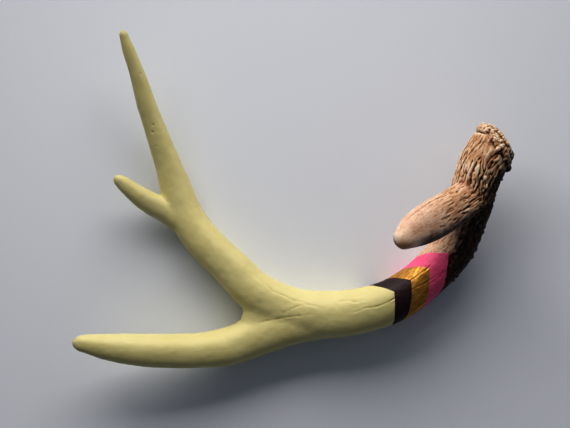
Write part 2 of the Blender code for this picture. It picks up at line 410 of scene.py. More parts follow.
@dataclass
class Burr:
    """The knobbed rim at the cast end, and the low dome of the cast face inside it."""

    centre: Vector = field(default_factory=lambda: Vector((0.1371, 0.0387, 0.0370)))
    normal: Vector = field(default_factory=lambda: Vector((0.856, 0.517, 0.0)).normalized())
    rings: tuple[KnobRing, ...] = (
        KnobRing(-0.0014, 0.0147, 0.0028, 34, 0.0016),
        KnobRing(0.0022, 0.0119, 0.0028, 29, 0.0013),
    )
    knob_sunk_share: float = 0.62
    knob_wander: float = 0.0011
    size_change: float = 0.22
    size_turn: float = 3.7
    stretch_mean: float = 1.5
    stretch_change: float = 0.3
    stretch_turn: float = 2.3
    reach_change: float = 0.0005
    reach_turn: float = 5.1
    spur_reach: float = 0.0180
    spur_radius: float = 0.0021
    spur_stretch: float = 1.5
    face_behind: float = 0.0015
    face_radius: float = 0.0128
    face_height: float = 0.0066
    ring_segments: int = 96
    tube_segments: int = 24

    def build(self) -> list[bpy.types.Object]:
        """Makes the rings, their knobs and the cast face.

        Returns:
            The mesh objects, which overlap each other and the beam.
        """
        turn = self.normal.to_track_quat("Z", "Y")
        made = []
        for ring in self.rings:
            centre = self.centre + ring.ahead * self.normal
            bpy.ops.mesh.primitive_torus_add(
                location=centre,
                rotation=turn.to_euler(),
                major_radius=ring.radius,
                minor_radius=ring.thickness,
                major_segments=self.ring_segments,
                minor_segments=self.tube_segments,
            )
            made.append(bpy.context.object)
            for i in range(ring.knobs):
                angle = 2 * math.pi * i / ring.knobs
                outward = turn @ Vector((math.cos(angle), math.sin(angle), 0.0))
                size = ring.knob_radius * (1 + self.size_change * math.sin(self.size_turn * i))
                reach = ring.radius + ring.thickness - self.knob_sunk_share * size
                reach += self.reach_change * math.sin(self.reach_turn * i)
                forward = self.knob_wander * math.cos(GOLDEN_ANGLE * i)
                stretch = self.stretch_mean + self.stretch_change * math.sin(self.stretch_turn * i)
                made.append(self.ball(centre + reach * outward + forward * self.normal, size, stretch))
        spur = self.centre + self.spur_reach * Vector((self.normal.y, -self.normal.x, 0.0))
        made.append(self.ball(spur - MILLIMETRE * self.normal, self.spur_radius, self.spur_stretch))
        middle = self.centre - self.face_behind * self.normal
        made.append(self.ball(middle, self.face_radius, self.face_height / self.face_radius))
        return made

    def ball(self, centre: Vector, radius: float, stretch: float) -> bpy.types.Object:
        """Adds a ball drawn out, or pressed flat, along the burr's normal.

        Args:
            centre: its middle.
            radius: its radius across the normal.
            stretch: its length along the normal as a share of that.

        Returns:
            The ball's object.
        """
        bpy.ops.mesh.primitive_ico_sphere_add(
            subdivisions=3,
            radius=1.0,
            location=centre,
            rotation=self.normal.to_track_quat("Z", "Y").to_euler(),
            scale=(radius, radius, radius * stretch),
        )
        return bpy.context.object


# The branches. The fork web fills the crotch of the lower fork.

MAIN_BEAM = Branch(
    Limb.BEAM,
    (
        (0.1367, 0.0391, 0.0370, 0.0154),
        (0.1327, 0.0323, 0.0370, 0.0154),
        (0.1280, 0.0238, 0.0358, 0.0149),
        (0.1247, 0.0133, 0.0335, 0.0143),
        (0.1223, 0.0003, 0.0300, 0.0140),
        (0.1186, -0.0152, 0.0250, 0.0140),
        (0.1121, -0.0328, 0.0180, 0.0146),
        (0.1013, -0.0461, 0.0143, 0.0148),
        (0.0894, -0.0572, 0.0142, 0.0148),
        (0.0766, -0.0662, 0.0156, 0.0152),
        (0.0609, -0.0728, 0.0166, 0.0155),
        (0.0411, -0.0773, 0.0168, 0.0160),
        (0.0199, -0.0789, 0.0164, 0.0165),
        (-0.0026, -0.0749, 0.0153, 0.0155),
        (-0.0260, -0.0629, 0.0148, 0.0145),
        (-0.0430, -0.0465, 0.0138, 0.0132),
        (-0.0630, -0.0271, 0.0125, 0.0128),
        (-0.0751, -0.0101, 0.0116, 0.0121),
        (-0.0825, 0.0095, 0.0123, 0.0110),
        (-0.0871, 0.0249, 0.0147, 0.0092),
        (-0.0945, 0.0476, 0.0200, 0.0076),
        (-0.1012, 0.0689, 0.0265, 0.0064),
        (-0.1058, 0.0877, 0.0330, 0.0050),
        (-0.1100, 0.1008, 0.0375, 0.0042),
        (-0.1128, 0.1103, 0.0410, 0.0030),
        (-0.1137, 0.1151, 0.0425, 0.0026),
    ),
    flatness=0.94,
    tip_length=0.0036,
    grain_radius=14.5,
)
BROW_TINE = Branch(
    Limb.BROW_TINE,
    (
        (0.1219, 0.0043, 0.0340, 0.0128),
        (0.1114, -0.0009, 0.0430, 0.0127),
        (0.1002, -0.0066, 0.0530, 0.0128),
        (0.0868, -0.0129, 0.0650, 0.0126),
        (0.0751, -0.0179, 0.0770, 0.0106),
        (0.0673, -0.0224, 0.0860, 0.0072),
        (0.0624, -0.0256, 0.0912, 0.0044),
    ),
    flatness=0.78,
    tip_length=0.0036,
    grain_radius=12.0,
)
SECOND_TINE = Branch(
    Limb.SECOND_TINE,
    (
        (0.0339, -0.0797, 0.0164, 0.0135),
        (0.0139, -0.0829, 0.0160, 0.0142),
        (-0.0051, -0.0867, 0.0150, 0.0147),
        (-0.0223, -0.0927, 0.0143, 0.0147),
        (-0.0447, -0.1010, 0.0165, 0.0134),
        (-0.0654, -0.1033, 0.0205, 0.0120),
        (-0.0856, -0.1028, 0.0250, 0.0116),
        (-0.1056, -0.1012, 0.0295, 0.0109),
        (-0.1249, -0.0982, 0.0345, 0.0088),
        (-0.1408, -0.0951, 0.0385, 0.0058),
        (-0.1478, -0.0944, 0.0405, 0.0036),
    ),
    flatness=0.96,
    tip_length=0.0050,
    grain_radius=11.0,
)
THIRD_TINE = Branch(
    Limb.THIRD_TINE,
    (
        (-0.0630, -0.0290, 0.0118, 0.0080),
        (-0.0745, -0.0150, 0.0114, 0.0100),
        (-0.0863, -0.0069, 0.0132, 0.0093),
        (-0.0983, -0.0008, 0.0182, 0.0079),
        (-0.1081, 0.0059, 0.0235, 0.0064),
        (-0.1186, 0.0150, 0.0285, 0.0042),
        (-0.1226, 0.0173, 0.0300, 0.0030),
    ),
    flatness=0.96,
    tip_length=0.0040,
    grain_radius=8.0,
)
FORK_WEB = Branch(
    Limb.FORK_WEB,
    (
        (0.0159, -0.0797, 0.0160, 0.0130),
        (-0.0071, -0.0797, 0.0155, 0.0125),
        (-0.0241, -0.0802, 0.0150, 0.0113),
        (-0.0316, -0.0792, 0.0150, 0.0085),
        (-0.0353, -0.0784, 0.0150, 0.0040),
    ),
    flatness=0.94,
    tip_length=0.0,
    grain_radius=12.0,
)


@dataclass
class BoneForm:
    """The whole antler's smooth form: its branches and burr fused into one closed skin."""

    branches: tuple[Branch, ...] = (MAIN_BEAM, BROW_TINE, SECOND_TINE, THIRD_TINE, FORK_WEB)
    section_points: int = 96
    section_lobes: int = 5
    section_lobe_share: float = 0.018
    section_lobe_turn: float = 1.1
    ring_step: float = 0.001
    voxel: float = 0.00044
    smoothing_rounds: int = 8
    # Each fork's crease is filled by extra smoothing: its place, how far the smoothing reaches, its share.
    forks: tuple[tuple[tuple[float, float, float], float, float], ...] = (
        ((0.1130, -0.0080, 0.0400), 0.026, 0.9),
        ((-0.0280, -0.0800, 0.0150), 0.030, 1.0),
        ((0.0110, -0.0860, 0.0160), 0.024, 0.7),
        ((-0.0870, -0.0020, 0.0150), 0.021, 0.35),
    )
    fork_rounds: int = 320

    def build(self, burr: Burr) -> bpy.types.Object:
        """Builds the fused skin.

        Args:
            burr: the rim that is fused with the branches.

        Returns:
            The antler as one closed mesh object.
        """
        parts = burr.build()
        for branch in self.branches:
            section = self.section(branch.flatness)
            parts.append(branch.tube(self.ring_step, section))
            bpy.data.objects.remove(section)
        select_only(*parts)
        bpy.ops.object.join()
        whole = bpy.context.object
        select_only(whole)
        bpy.ops.object.transform_apply(location=True, rotation=True, scale=True)
        whole.name = "antler"
        apply_modifier(whole, "REMESH", mode="VOXEL", voxel_size=self.voxel)
        apply_modifier(whole, "SMOOTH", factor=0.5, iterations=self.smoothing_rounds)
        self.fill_creases(whole)
        return whole

    def section(self, flatness: float) -> bpy.types.Object:
        """A bone's outline of unit half width: an oval with a few low lobes, as a beam's flutes give it.

        Args:
            flatness: its height as a share of its width.

        Returns:
            The closed flat curve.
        """
        curve = bpy.data.curves.new("section", "CURVE")
        curve.dimensions = "2D"
        spline = curve.splines.new("POLY")
        spline.points.add(self.section_points - 1)
        spline.use_cyclic_u = True
        for i, point in enumerate(spline.points):
            angle = 2 * math.pi * i / self.section_points
            lobe = math.cos(self.section_lobes * angle + self.section_lobe_turn)
            reach = 1 + self.section_lobe_share * lobe
            point.co = (reach * math.cos(angle), reach * flatness * math.sin(angle), 0.0, 1.0)
        section = bpy.data.objects.new("section", curve)
        bpy.context.scene.collection.objects.link(section)
        return section

    def fill_creases(self, whole: bpy.types.Object) -> None:
        """Smooths the skin round each fork, so that the branches flow into each other.

        Args:
            whole: the antler.
        """
        points = positions(whole.data)
        near = np.zeros(len(points))
        for place, reach, share in self.forks:
            apart = np.linalg.norm(points - np.array(place), axis=1)
            near = np.maximum(near, share * (1 - ease(apart, 0.5 * reach, reach)))
        group = whole.vertex_groups.new(name="crease")
        for index in np.flatnonzero(near > 0):
            group.add([int(index)], float(near[index]), "REPLACE")
        apply_modifier(whole, "SMOOTH", factor=0.5, iterations=self.fork_rounds, vertex_group=group.name)
        whole.vertex_groups.clear()


def read(items: Any, name: str, width: int = 1, whole: bool = False) -> np.ndarray:
    """Reads a property of all the points, edges, corners or faces of a mesh.

    Args:
        items: the mesh's collection of them.
        name: the property's name.
        width: how many numbers each one has.
        whole: whether they are whole numbers.

    Returns:
        The numbers: n by width, or n where the width is 1.
    """
    values = np.empty(len(items) * width, np.int32 if whole else np.float32)
    items.foreach_get(name, values)
    values = values if whole else values.astype(float)
    return values.reshape(-1, width) if width > 1 else values


def positions(mesh: bpy.types.Mesh) -> np.ndarray:
    """The mesh's points, n by 3."""
    return read(mesh.vertices, "co", 3)


def normals(mesh: bpy.types.Mesh) -> np.ndarray:
    """The mesh's normals at its points, n by 3."""
    return read(mesh.vertex_normals, "vector", 3)


def set_positions(mesh: bpy.types.Mesh, points: np.ndarray) -> None:
    """Moves the mesh's points."""
    mesh.vertices.foreach_set("co", points.astype(np.float32).ravel())
    mesh.update()


def edge_ends(mesh: bpy.types.Mesh) -> np.ndarray:
    """The two points of each edge, n by 2."""
    return read(mesh.edges, "vertices", 2, whole=True)


def store(mesh: bpy.types.Mesh, name: str, values: np.ndarray) -> None:
    """Keeps a value, or a vector, for each point of a mesh as a named attribute.

    Args:
        mesh: the mesh.
        name: the attribute's name, which materials read.
        values: n values, or n by 3.
    """
    kind, slot = ("FLOAT_VECTOR", "vector") if values.ndim == 2 else ("FLOAT", "value")
    attribute = mesh.attributes.get(name) or mesh.attributes.new(name, kind, "POINT")
    attribute.data.foreach_set(slot, values.astype(np.float32).ravel())


def stored(mesh: bpy.types.Mesh, name: str) -> np.ndarray:
    """Reads a value for each point of a mesh back from its attribute."""
    return read(mesh.attributes[name].data, "value")


def averaged(values: np.ndarray, ends: np.ndarray, rounds: int) -> np.ndarray:
    """Spreads values over a mesh's edges, half of each point's own value kept each round.

    Args:
        values: n by k.
        ends: the two points of each edge.
        rounds: how many rounds.

    Returns:
        The spread values, n by k.
    """
    count = len(values)
    first, second = ends[:, 0], ends[:, 1]
    neighbours = np.bincount(first, minlength=count) + np.bincount(second, minlength=count)
    neighbours = np.maximum(neighbours, 1)
    for _ in range(rounds):
        gathered = np.stack(
            [
                np.bincount(first, weights=column[second], minlength=count)
                + np.bincount(second, weights=column[first], minlength=count)
                for column in values.T
            ],
            axis=1,
        )
        values = 0.5 * values + 0.5 * gathered / neighbours[:, None]
    return values


# The paint's edges.


@dataclass(frozen=True)
class PaintEdge:
    """One taped edge: a chevron that points towards the burr.

    Attributes:
        apex_along: where its point is along the beam, in millimetres.
        apex_angle: where its point is round the beam, in degrees.
        inner_lean: how fast its inner leg runs away from the burr, for each millimetre round.
        outer_lean: the same for its outer leg, at its start.
        outer_curl: how much of its outer leg's run is lost by the square of the turn, in millimetres.
    """

    apex_along: float
    apex_angle: float
    inner_lean: float
    outer_lean: float
    outer_curl: float = 1.5

    def along(self, angle: np.ndarray, radius: float, inner_end: float, outer_end: float) -> np.ndarray:
        """Where the edge runs along the beam, all the way round.

        Args:
            angle: turns round the beam, in radians.
            radius: the beam's half width, in millimetres.
            inner_end: the angle where the inner leg ends, in degrees, below 0.
            outer_end: the angle where the outer leg ends, in degrees, past 180.

        Returns:
            Distances along the beam, in millimetres.
        """
        degrees = np.mod(np.degrees(angle) - inner_end, 360) + inner_end
        inner = self.apex_along + self.inner_lean * radius * np.radians(self.apex_angle - degrees)
        turned = np.radians(degrees - self.apex_angle)
        outer = self.apex_along + self.outer_lean * radius * turned - self.outer_curl * turned**2
        last_inner = self.apex_along + self.inner_lean * radius * math.radians(self.apex_angle - inner_end)
        last_turn = math.radians(outer_end - self.apex_angle)
        last_outer = self.apex_along + self.outer_lean * radius * last_turn - self.outer_curl * last_turn**2
        share = ease(degrees, outer_end, inner_end + 360)
        behind = last_outer + share * (last_inner - last_outer)
        return np.where(degrees < self.apex_angle, inner, np.where(degrees < outer_end, outer, behind))


@dataclass
class PaintBands:
    """The chevron bands round the beam, and the yellow past them."""

    edges: tuple[PaintEdge, ...] = (
        PaintEdge(79.3, 75.4, 1.10, 1.58),
        PaintEdge(100.1, 68.1, 0.88, 1.16),
        PaintEdge(118.1, 60.0, 0.80, 0.82),
        PaintEdge(133.7, 61.4, 0.90, 0.50),
    )
    radius: float = 15.0
    inner_end: float = -25.0
    outer_end: float = 185.0
    # The film's thickness, in metres.
    film: float = 0.00012
    # The low ridge of paint just past each edge: its place and half width, and its height, in millimetres.
    film_edge: float = 0.30
    film_ridge: float = 0.06
    # How far along the beam one number runs where no edge follows, in millimetres.
    open_width: float = 16.0
    # The numbers that the brow tine and the far branches get.
    bare_number: float = -5.0
    yellow_number: float = 10.0
    # How near an edge's number both ends of a mesh edge have to be, if it is to cross it.
    near: float = 0.6

    def coordinate(self, place: Place) -> np.ndarray:
        """Numbers the bands: below 0 is bare, 0 to 1 the first band, and so on to the yellow past 3.

        Args:
            place: where the points are on the beam.

        Returns:
            A smooth number at each point, whole on each edge.
        """
        lines = np.stack(
            [e.along(place.angle, self.radius, self.inner_end, self.outer_end) for e in self.edges]
        )
        number = (place.along - lines[0]) / self.open_width
        for k in range(1, len(lines)):
            span = lines[k] - lines[k - 1]
            number = np.where(place.along > lines[k - 1], k - 1 + (place.along - lines[k - 1]) / span, number)
        last = len(lines) - 1
        past = last + (place.along - lines[last]) / self.open_width
        return np.where(place.along > lines[last], past, number)

    def snap(self, mesh: bpy.types.Mesh) -> None:
        """Moves the points nearest each paint edge onto it, so that the edge runs along the mesh's edges.

        Args:
            mesh: the antler, in triangles, with its band numbers stored.
        """
        ends = edge_ends(mesh)
        points = positions(mesh)
        band = stored(mesh, "band")
        for line in range(len(self.edges)):
            low, high = band[ends[:, 0]] - line, band[ends[:, 1]] - line
            crossing = (low * high < 0) & (np.abs(low) < self.near) & (np.abs(high) < self.near)
            first, second = ends[crossing].T
            low, high = low[crossing], high[crossing]
            share = (low / (low - high))[:, None]
            target = points[first] * (1 - share) + points[second] * share
            mover = np.where(np.abs(low) < np.abs(high), first, second)
            order = np.argsort(-np.linalg.norm(points[mover] - target, axis=1))
            points[mover[order]] = target[order]
            band[mover] = line
        set_positions(mesh, points)
        store(mesh, "band", band)

    def coats(self, mesh: bpy.types.Mesh) -> np.ndarray:
        """Which coat each face wears.

        Args:
            mesh: the antler, in triangles, with its edges snapped.

        Returns:
            The coat's number for each face.
        """
        corners = read(mesh.loops, "vertex_index", whole=True)
        middle = stored(mesh, "band")[corners].reshape(-1, 3).mean(axis=1)
        return np.searchsorted(np.arange(len(self.edges)), middle).astype(np.int32)


# The bone's relief. Its distances and heights are in millimetres.


class Look(Enum):
    """What a noise is made into."""

    PLAIN = 0
    FURROWS = 1
    VEINS = 2
    PATCHES = 3
    BEADS = 4


@dataclass(frozen=True)
class Pattern:
    """A pattern in the bone, made from a noise.

    Attributes:
        look: sharp furrows or rounded veins where the noise is 0, patches or beads where it is high.
        size: how far apart its marks are, across, up and along.
        seed: chooses the noise.
        end: how wide lines are, or the noise at which a patch or a bead is full.
        start: the noise at which a patch begins.
    """

    look: Look
    size: float | Size
    seed: int
    end: float = 0.6
    start: float = 0.0

    def at(self, points: np.ndarray) -> np.ndarray:
        """The pattern's strength.

        Args:
            points: n by 3.

        Returns:
            A value from 0 to 1 at each point, or the noise itself if it is plain.
        """
        value = noise(points / self.size, self.seed)
        if self.look is Look.FURROWS:
            return np.exp(-np.abs(value) / self.end)
        if self.look is Look.VEINS:
            return bell(value, self.end)
        if self.look is Look.PATCHES:
            return ease(value, self.start, self.end)
        if self.look is Look.BEADS:
            return np.clip(value, 0.0, self.end) / self.end
        return value


def wandered(grain: np.ndarray, layers: Sequence[tuple[float, Size, int]]) -> np.ndarray:
    """Grain that strays to the sides, as in grown bone.

    Args:
        grain: n by 3.
        layers: how far each layer strays, over what distances, and the seed for its first direction.

    Returns:
        The strayed grain, n by 3.
    """
    strayed = grain.copy()
    for axis in (0, 1):
        for reach, size, seed in layers:
            strayed[:, axis] += reach * noise(grain / size, seed + axis)
    return strayed


@dataclass(frozen=True)
class BeamSurface:
    """The bare beam's ridges, clefts, crest lines and beads, and the fluted skirt under its burr."""

    wander: tuple[tuple[float, Size, int], ...] = ((3.2, (11.0, 11.0, 20.0), 11), (0.9, (3.2, 3.2, 5.0), 13))
    furrow: Pattern = Pattern(Look.FURROWS, (3.1, 3.1, 19.0), 21, 0.085)
    cleft: Pattern = Pattern(Look.FURROWS, (1.8, 1.8, 8.0), 22, 0.10)
    crest_line: Pattern = Pattern(Look.VEINS, (4.4, 4.4, 17.0), 23, 0.05)
    neck_vein: Pattern = Pattern(Look.VEINS, (6.4, 6.4, 12.0), 26, 0.075)
    # Furrows and clefts deepen in the links of a chain, and the neck's veins come and go.
    link: Pattern = Pattern(Look.PATCHES, (2.0, 2.0, 3.0), 24, 0.20, -0.28)
    vein_patch: Pattern = Pattern(Look.PATCHES, (5.0, 5.0, 8.0), 29, 0.20, -0.30)
    bead: Pattern = Pattern(Look.BEADS, (1.9, 1.9, 2.6), 25)
    lump: Pattern = Pattern(Look.PLAIN, (1.2, 1.2, 2.4), 28)
    flute_wander: Pattern = Pattern(Look.PLAIN, 8.0, 27)
    ground: float = 0.35
    furrow_depth: float = 1.10
    cleft_depth: float = 0.95
    line_height: float = 0.45
    bead_height: float = 0.18
    lump_height: float = 0.16
    # How much of the furrows, and of all finer marks, the paint fills.
    furrow_fill: float = 0.60
    fine_fill: float = 0.85
    # The neck by the burr has a relief of its own, which ends between these distances.
    neck_end: tuple[float, float] = (11.0, 20.0)
    neck_vein_height: float = 0.70
    neck_furrow_depth: float = 0.55
    neck_cleft_depth: float = 0.45
    neck_bead_height: float = 0.25
    # Distances along the beam from the burr, and the relief's strength and the bone's swell there.
    places: tuple[float, ...] = (0.0, 14.0, 30.0, 60.0, 78.0, 100.0, 125.0, 150.0, 170.0)
    relief: tuple[float, ...] = (0.60, 1.00, 1.15, 1.00, 0.65, 0.45, 0.20, 0.06, 0.03)
    swell_places: tuple[float, ...] = (0.0, 8.0, 35.0, 60.0, 100.0)
    swell_heights: tuple[float, ...] = (0.5, 0.7, 0.8, 0.35, 0.0)
    # Past the brow tine, the side towards it is calmer.
    calm_start: tuple[float, float] = (42.0, 56.0)
    calm_side: tuple[float, float] = (0.38, 0.62)
    calm_share: float = 0.6
    skirt_place: float = 5.5
    skirt_reach: float = 4.5
    skirt_height: float = 1.3
    skirt_side: tuple[float, float] = (0.45, 0.85)
    flutes: int = 26
    flute_share: float = 0.45

    def height(self, place: Place, painted: np.ndarray) -> np.ndarray:
        """How high the surface stands.

        Args:
            place: where the points are on the beam.
            painted: 1 where paint fills the finer clefts, 0 on the bare bone.

        Returns:
            A height at each point.
        """
        grain = wandered(place.grain, self.wander)
        furrow, cleft = self.furrow.at(grain), self.cleft.at(grain)
        link, bead = self.link.at(place.grain), self.bead.at(place.grain)
        fine = 1 - self.fine_fill * painted
        furrows = self.furrow_depth * furrow * (0.55 + 0.45 * link) * (1 - self.furrow_fill * painted)
        height = self.ground - furrows - self.cleft_depth * fine * cleft * (0.2 + 0.8 * link)
        marks = self.line_height * self.crest_line.at(grain) * (1 - furrow) + self.bead_height * bead
        height += fine * marks
        height += fine * self.lump_height * self.lump.at(place.grain)
        neck = self.neck_vein_height * (self.neck_vein.at(grain) * self.vein_patch.at(place.grain))
        neck -= self.neck_furrow_depth * furrow
        neck -= self.neck_cleft_depth * cleft * link
        neck += self.neck_bead_height * bead
        near = 1 - ease(place.along, *self.neck_end)
        height = (1 - near) * height + near * neck
        relief = np.interp(place.along, self.places, self.relief)
        calm = ease(place.along, *self.calm_start) * (1 - ease(place.outer, *self.calm_side))
        relief *= 1 - self.calm_share * calm * (np.sin(place.angle) > -0.2)
        skirt = self.skirt_height * bell(place.along - self.skirt_place, self.skirt_reach)
        skirt *= ease(place.outer, *self.skirt_side)
        wave = np.cos(self.flutes * place.angle + 3.0 * self.flute_wander.at(place.grain))
        swell = np.interp(place.along, self.swell_places, self.swell_heights)
        return swell + skirt + skirt * self.flute_share * wave + height * relief * (0.8 + 0.4 * place.outer)


@dataclass(frozen=True)
class BrowSurface:
    """The brow tine's fibres and pits, worn away towards its tip, and the fine groove along its back."""

    wander: tuple[tuple[float, Size, int], ...] = ((1.2, (8.0, 8.0, 18.0), 31),)
    furrow: Pattern = Pattern(Look.FURROWS, (2.6, 2.6, 24.0), 33, 0.09)
    pit: Pattern = Pattern(Look.FURROWS, (1.4, 1.4, 10.0), 34, 0.12)
    link: Pattern = Pattern(Look.PATCHES, (1.6, 1.6, 6.0), 35, 0.24, -0.16)
    bead: Pattern = Pattern(Look.BEADS, (2.6, 2.6, 5.0), 36)
    ground: float = 0.25
    furrow_depth: float = 0.8
    pit_depth: float = 0.85
    bead_height: float = 0.35
    # Distances from the tine's root where it stops being rugged, and the relief's strength on the way.
    rugged_end: tuple[float, float] = (22.0, 48.0)
    places: tuple[float, ...] = (10.0, 22.0, 36.0, 55.0, 75.0, 90.0)
    relief: tuple[float, ...] = (0.85, 0.85, 0.70, 0.36, 0.13, 0.05)
    # The groove: how far round, from where to where it fades in and out, and its own size.
    groove_angle: float = math.radians(25)
    groove_start: tuple[float, float] = (24.0, 34.0)
    groove_end: tuple[float, float] = (66.0, 78.0)
    groove_wander: Pattern = Pattern(Look.PLAIN, 12.0, 37)
    groove_stray: float = 0.8
    groove_width: float = 0.4
    groove_depth: float = 0.34
    radius: float = 12.0

    def height(self, place: Place) -> np.ndarray:
        """How high the surface stands.

        Args:
            place: where the points are on the brow tine.

        Returns:
            A height at each point.
        """
        grain = wandered(place.grain, self.wander)
        link = self.link.at(place.grain)
        rugged = 1 - ease(place.along, *self.rugged_end)
        furrow = (0.2 + 0.6 * rugged) * self.furrow_depth * self.furrow.at(grain) * (0.3 + 0.7 * link)
        height = self.ground - furrow - self.pit_depth * self.pit.at(grain) * link
        height += self.bead_height * rugged * self.bead.at(place.grain)
        relief = np.interp(place.along, self.places, self.relief)
        relief *= 0.55 + 0.65 * ease(-np.cos(place.angle), -0.7, 0.5)
        stray = self.groove_stray * self.groove_wander.at(place.grain)
        apart = self.radius * wrapped(place.angle - self.groove_angle) + stray
        groove = bell(apart, self.groove_width) * ease(place.along, *self.groove_start)
        groove *= 1 - ease(place.along, *self.groove_end)
        return height * relief - self.groove_depth * groove


@dataclass(frozen=True)
class Pearls:
    """The round pearls on the beam's outer side, spread by the golden angle."""

    count: int = 74
    radius: float = 1.15
    start: float = 20.0
    end: float = 96.0
    side: float = math.radians(168)
    spread: float = math.radians(72)
    size_change: float = 0.23
    size_turn: float = 3.7
    stretch: float = 1.25
    share: float = 0.75
    fill: float = 0.75
    beam_radius: float = 14.8

    def height(self, place: Place) -> np.ndarray:
        """How high the pearls stand.

        Args:
            place: where the points are on the beam.

        Returns:
            A height at each point, 0 between the pearls.
        """
        height = np.zeros(len(place.along))
        for i in range(self.count):
            along = self.start + (self.end - self.start) * (i + 0.5) / self.count
            angle = self.side + self.spread * math.sin(GOLDEN_ANGLE * i)
            radius = self.radius * (1 + self.size_change * math.sin(self.size_turn * i))
            turn = wrapped(place.angle - angle)
            apart = np.hypot(self.beam_radius * turn, (place.along - along) / self.stretch)
            height = np.maximum(height, np.sqrt(np.clip(radius**2 - apart**2, 0.0, None)))
        return height


@dataclass(frozen=True)
class Groove:
    """A vein's groove pressed in the bone, seen from above.

    Attributes:
        route: x and y of its points, in metres.
        depth: how deep it is.
        width: half its width.
        wander: how far it strays from the straight lines between its points, in metres.
        wander_size: over what distance it strays, in metres.
        depth_size: over what distance its depth changes, in metres.
        lip_share: how high the lips beside it stand, as a share of its depth.
        lip_place: how far out they stand, in its widths.
    """

    route: tuple[tuple[float, float], ...]
    depth: float
    width: float
    wander: float = 0.0017
    wander_size: float = 0.009
    depth_size: float = 0.006
    lip_share: float = 0.22
    lip_place: float = 2.3

    def distance(self, points: np.ndarray) -> tuple[np.ndarray, np.ndarray]:
        """How far points are from the groove, seen from above.

        Args:
            points: n by 3, in metres.

        Returns:
            The distance, and a share that varies along the groove and fades to 0 at its two ends.
        """
        strayed = points[:, :2].copy()
        for axis in (0, 1):
            strayed[:, axis] += self.wander * noise(points / self.wander_size, 71 + axis)
        line = np.array(self.route)
        lengths = np.linalg.norm(np.diff(line, axis=0), axis=1)
        before = np.concatenate([[0.0], np.cumsum(lengths)])
        nearest = np.full(len(points), np.inf)
        travelled = np.zeros(len(points))
        for start, end, length, done in zip(line, line[1:], lengths, before):
            way = (end - start) / length
            ahead = np.clip((strayed - start) @ way, 0.0, length)
            distance = np.linalg.norm(strayed - start - ahead[:, None] * way, axis=1)
            closer = distance < nearest
            nearest = np.where(closer, distance, nearest)
            travelled = np.where(closer, done + ahead, travelled)
        share = travelled / before[-1]
        depth = np.clip(0.8 + 1.1 * noise(points / self.depth_size, 73), 0.25, 1.2)
        return nearest / MILLIMETRE, depth * np.sqrt(np.clip(4 * share * (1 - share), 0.0, 1.0))

    def profile(self, distance: np.ndarray) -> np.ndarray:
        """The height of the groove and its lips at distances from its middle."""
        lip = self.lip_share * self.depth * bell(distance - self.lip_place * self.width, self.width)
        return lip - self.depth * bell(distance, self.width)


@dataclass(frozen=True)
class Skin:
    """What is known of each point of the smooth form.

    Attributes:
        points: in metres, n by 3.
        outward: their normals, n by 3.
        scaled: the points in millimetres.
        beam: where they are on the beam.
        brow: where they are on the brow tine.
        on_beam: the beam's share in them.
        on_brow: the brow tine's share in them.
        grain: their place in the grain of all the branches they are part of, n by 3.
        rim: 1 on the burr's knobbed rim, otherwise 0, with a soft edge, as in the next two.
        cast: 1 on the cast face.
        face: 1 past the burr's plane, where the beam's own grain ends.
        band: their number among the paint's bands.
        painted: 1 under paint, 0 on the bare bone.
    """

    points: np.ndarray
    outward: np.ndarray
    scaled: np.ndarray
    beam: Place
    brow: Place
    on_beam: np.ndarray
    on_brow: np.ndarray
    grain: np.ndarray
    rim: np.ndarray
    cast: np.ndarray
    face: np.ndarray
    band: np.ndarray
    painted: np.ndarray


